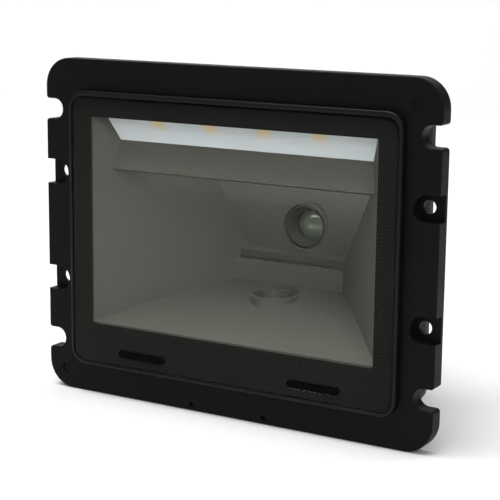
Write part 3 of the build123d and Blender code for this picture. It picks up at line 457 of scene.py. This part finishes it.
def board_material():
    """Solder mask over copper: traces, a ground pour and rows of plated holes."""
    material, nodes, links, shader = new_material("circuit_board")
    dark = (0.008, 0.060, 0.026, 1)
    light = (0.014, 0.105, 0.045, 1)
    gold = (0.60, 0.46, 0.20, 1)
    bricks = nodes.new("ShaderNodeTexBrick")
    bricks.inputs["Scale"].default_value = 1 / (9 * MM)
    bricks.inputs["Mortar Size"].default_value = 0.035
    bricks.inputs["Brick Width"].default_value = 0.62
    bricks.inputs["Row Height"].default_value = 0.11
    turned = nodes.new("ShaderNodeMapping")
    turned.inputs["Rotation"].default_value = (math.radians(90), 0, 0)
    links.new(place_of(nodes), turned.inputs["Vector"])
    links.new(turned.outputs["Vector"], bricks.inputs["Vector"])
    pour = remap(nodes, links, noise(nodes, links, 14.0, 1.0), 0.50, 0.52, 0, 1)
    traces = maths(nodes, links, "MULTIPLY", bricks.outputs["Fac"], pour)
    tone = blend_colour(nodes, links, traces, light, dark)
    cells = nodes.new("ShaderNodeTexVoronoi")
    cells.inputs["Scale"].default_value = 1 / (3.1 * MM)
    cells.inputs["Randomness"].default_value = 0.35
    links.new(place_of(nodes), cells.inputs["Vector"])
    via = remap(nodes, links, cells.outputs["Distance"], 0.09, 0.11, 1, 0)
    links.new(blend_colour(nodes, links, via, tone, gold), shader.inputs["Base Color"])
    shine = remap(nodes, links, noise(nodes, links, 1.2), 0.3, 0.7, 0.28, 0.4)
    links.new(shine, shader.inputs["Roughness"])
    links.new(bump(nodes, links, traces, 0.25, 0.03), shader.inputs["Normal"])
    return material


def ribbon_material():
    """Flat cable: tinned conductors show through the film as fine lines."""
    material, nodes, links, shader = new_material("flat_cable")
    separate = nodes.new("ShaderNodeSeparateXYZ")
    links.new(place_of(nodes), separate.inputs["Vector"])
    pitch = 0.5 * MM
    wave = maths(nodes, links, "PINGPONG", separate.outputs["X"], pitch / 2)
    wire = remap(nodes, links, wave, 0.09 * MM, 0.14 * MM, 1, 0)
    cloud = noise(nodes, links, 5.0)
    film = blend_colour(nodes, links, cloud, (0.62, 0.65, 0.70, 1), (0.70, 0.72, 0.75, 1))
    tone = blend_colour(nodes, links, wire, film, (0.42, 0.43, 0.45, 1))
    links.new(tone, shader.inputs["Base Color"])
    links.new(remap(nodes, links, wire, 0, 1, 0.32, 0.22), shader.inputs["Roughness"])
    links.new(bump(nodes, links, wire, 0.3, 0.03), shader.inputs["Normal"])
    return material


def dress_electronics():
    board = board_material()
    assign(board, "main_board", "camera_board", "illumination_board", "sensor_board")
    steel = screw_metal("plated_steel", (0.56, 0.56, 0.58), 0.32)
    assign(steel, "light_box_screws", "mirror_screws", "camera_board_screws", "lens_holder_screws")
    assign(steel, "main_board_screws")
    assign(screw_metal("tinned_sheet", (0.66, 0.66, 0.64), 0.28), "processor_shield")
    chip = moulded("chip_package", (0.018, 0.018, 0.019), 0.55, grain_mm=0.08, grain=0.15)
    assign(chip, "processor_chip", "memory_chips")
    assign(moulded("ferrite", (0.055, 0.055, 0.055), 0.5), "power_parts")
    assign(moulded("sounder", (0.016, 0.016, 0.016), 0.38), "beeper")
    nylon = moulded("nylon", (0.72, 0.68, 0.57), 0.42, spread=0.05, edge_gain=1.1)
    assign(nylon, "camera_connector", "main_connector", "board_connectors")
    flip = moulded("flip_bar", (0.075, 0.035, 0.022), 0.4)
    assign(flip, "camera_connector_latch", "main_connector_latch")
    assign(ribbon_material(), "camera_ribbon", "illumination_ribbon", "sensor_ribbon")
    assign(coated_lens("clear_epoxy", (0.30, 0.30, 0.36)), "infrared_emitter")
    assign(coated_lens("dark_epoxy", (0.012, 0.010, 0.016)), "infrared_receiver")


# ---------------------------------------------------------------- rear

def label_material():
    """Blank polyester plate: brushed silver with a thin dark frame."""
    material, nodes, links, shader = new_material("rating_plate")
    low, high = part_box("rear_label")
    middle = (low + high) / 2
    separate = nodes.new("ShaderNodeSeparateXYZ")
    links.new(place_of(nodes), separate.inputs["Vector"])
    inset = 1.6 * MM
    width = 0.3 * MM
    spans = (("X", middle.x, (high.x - low.x) / 2), ("Z", middle.z, (high.z - low.z) / 2))
    edges = []
    for axis, centre, half in spans:
        offset = maths(nodes, links, "SUBTRACT", separate.outputs[axis], centre)
        away = maths(nodes, links, "ABSOLUTE", offset)
        edges.append(maths(nodes, links, "SUBTRACT", half, away))
    near = maths(nodes, links, "MINIMUM", *edges)
    outer = maths(nodes, links, "GREATER_THAN", near, inset)
    inner = maths(nodes, links, "LESS_THAN", near, inset + width)
    line = maths(nodes, links, "MULTIPLY", outer, inner)
    grain = noise(nodes, links, 0.3, 2.0, 0.5, (0.05, 1.0, 1.0))
    silver = blend_colour(nodes, links, grain, (0.50, 0.51, 0.52, 1), (0.60, 0.61, 0.62, 1))
    tone = blend_colour(nodes, links, line, silver, (0.03, 0.03, 0.035, 1))
    links.new(tone, shader.inputs["Base Color"])
    shader.inputs["Metallic"].default_value = 0.55
    links.new(remap(nodes, links, grain, 0.3, 0.7, 0.30, 0.42), shader.inputs["Roughness"])
    return material


def dress_rear():
    rear = moulded("rear_plastic", (0.0105, 0.0105, 0.011), 0.50, grain_mm=0.3, grain=0.25,
                   specular=0.3)
    assign(rear, "rear_housing")
    assign(screw_metal("black_oxide", (0.045, 0.045, 0.048), 0.36, 0.8), "housing_screws")
    assign(label_material(), "rear_label")
    assign(moulded("socket_plastic", (0.02, 0.02, 0.021), 0.38, grain=0.04), "interface_socket")
    assign(screw_metal("gold_wire", (0.80, 0.58, 0.24), 0.22), "interface_contacts")


make_studio()
make_camera()
dress_front()
dress_light_box()
dress_camera()
dress_electronics()
dress_rear()
